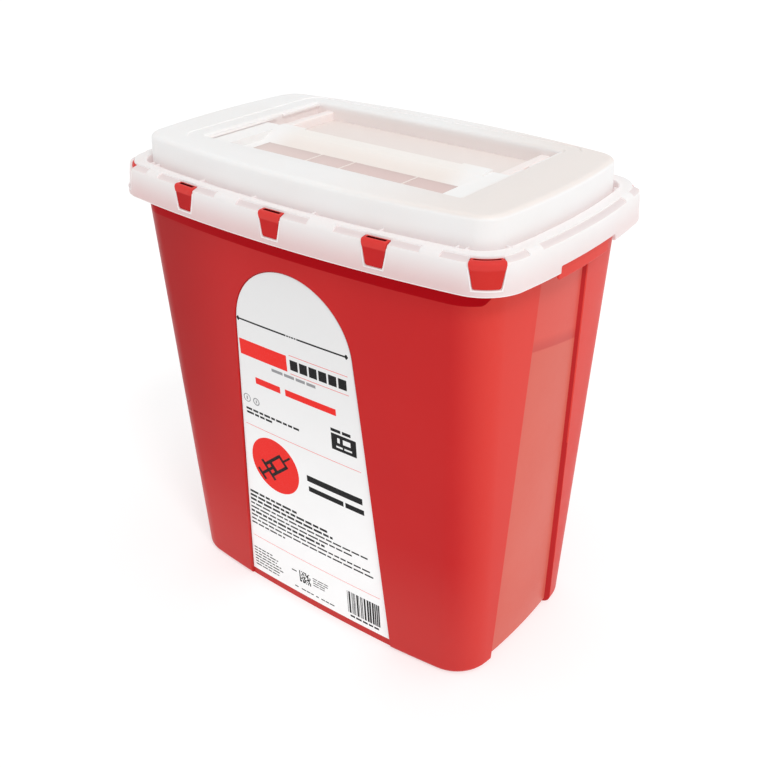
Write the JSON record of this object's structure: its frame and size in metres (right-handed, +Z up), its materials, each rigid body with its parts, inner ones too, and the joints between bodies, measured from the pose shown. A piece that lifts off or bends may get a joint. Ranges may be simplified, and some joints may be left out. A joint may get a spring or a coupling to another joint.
{
  "type": "sharps container",
  "caption": "Tall tapered waste box for used needles, with a catch-down lid, a sliding door over a wide drop opening, grip lips and an arched front label.",
  "frame": {"origin": "centre of the base, on the surface it stands on", "axes": "+X to the right along the long side as seen from the label, +Y to the back, +Z up; the label faces -Y"},
  "size_m": [0.3796, 0.2368, 0.3985],
  "materials": {
    "red_polypropylene": "satin translucent red polypropylene",
    "natural_polypropylene": "satin milky translucent polypropylene",
    "label_film": "white satin printed film"
  },
  "bodies": {
    "container": {"container_body": "red_polypropylene", "lid": "natural_polypropylene", "front_label": "label_film"},
    "door": {"slide_door": "natural_polypropylene"}
  },
  "joints": [
    {"name": "door_slide", "type": "slide", "parent": "container", "child": "door", "axis": [0, 1, 0], "range_m": [0, 0.062]}
  ]
}
